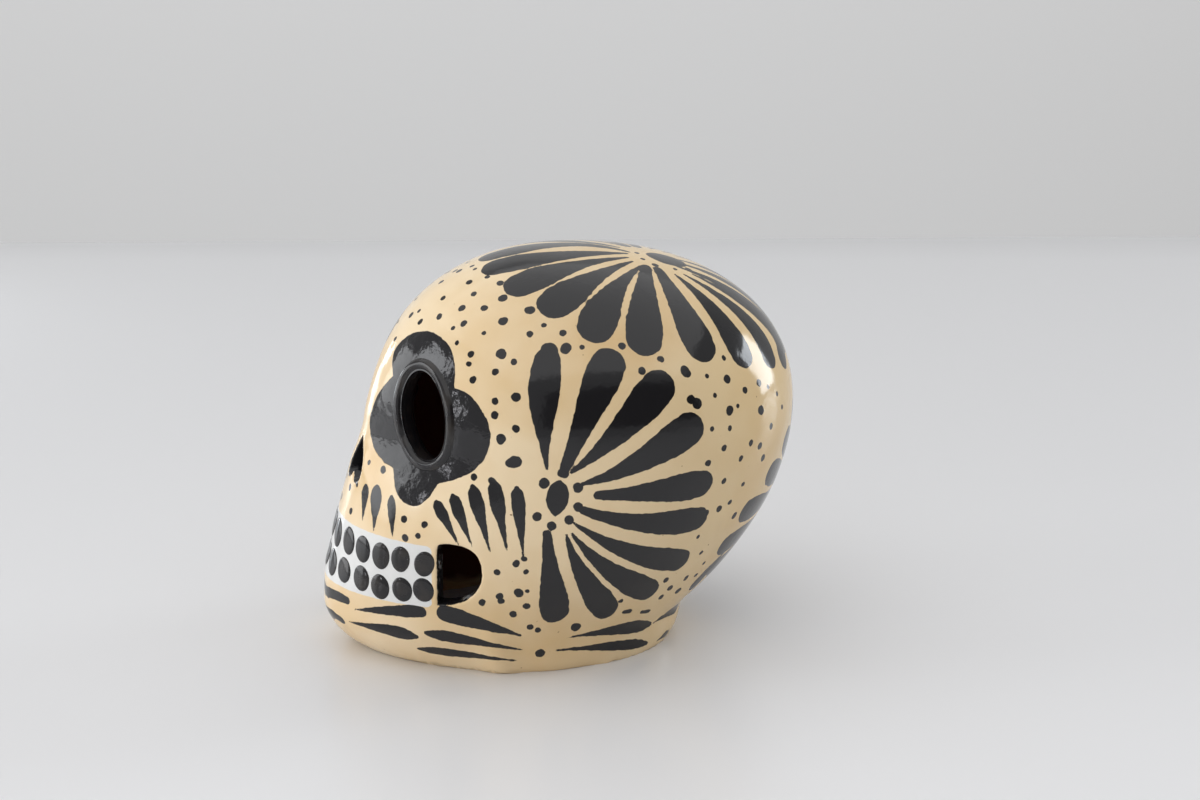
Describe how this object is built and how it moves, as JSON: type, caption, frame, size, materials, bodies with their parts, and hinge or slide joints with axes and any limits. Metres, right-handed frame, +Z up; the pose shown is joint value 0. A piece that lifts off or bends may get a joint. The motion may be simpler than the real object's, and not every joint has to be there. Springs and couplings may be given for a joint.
{
  "type": "painted clay skull",
  "caption": "Hollow glazed clay skull ornament in the sugar-skull style, painted with black petals, leaves and dots, with coiled eye rims and two rows of pellet teeth.",
  "frame": {"origin": "on the resting plane, below the middle of the skull's box", "axes": "+Z up, the face looks along -Y, the skull's own left side is +X"},
  "size_m": [0.075, 0.1, 0.081],
  "materials": {
    "cream_glazed_clay": "cream slip with black brushwork under a clear gloss glaze; bare red-brown clay inside",
    "black_glazed_clay": "black slip under a clear gloss glaze"
  },
  "bodies": {
    "root": {"skull_shell": "cream_glazed_clay", "left_eye_coil": "black_glazed_clay", "right_eye_coil": "black_glazed_clay", "upper_middle_tooth": "black_glazed_clay", "upper_left_tooth_1": "black_glazed_clay", "upper_right_tooth_1": "black_glazed_clay", "upper_left_tooth_2": "black_glazed_clay", "upper_right_tooth_2": "black_glazed_clay", "upper_left_tooth_3": "black_glazed_clay", "upper_right_tooth_3": "black_glazed_clay", "upper_left_tooth_4": "black_glazed_clay", "upper_right_tooth_4": "black_glazed_clay", "upper_left_tooth_5": "black_glazed_clay", "upper_right_tooth_5": "black_glazed_clay", "lower_middle_tooth": "black_glazed_clay", "lower_left_tooth_1": "black_glazed_clay", "lower_right_tooth_1": "black_glazed_clay", "lower_left_tooth_2": "black_glazed_clay", "lower_right_tooth_2": "black_glazed_clay", "lower_left_tooth_3": "black_glazed_clay", "lower_right_tooth_3": "black_glazed_clay", "lower_left_tooth_4": "black_glazed_clay", "lower_right_tooth_4": "black_glazed_clay", "lower_left_tooth_5": "black_glazed_clay", "lower_right_tooth_5": "black_glazed_clay"}
  },
  "joints": []
}
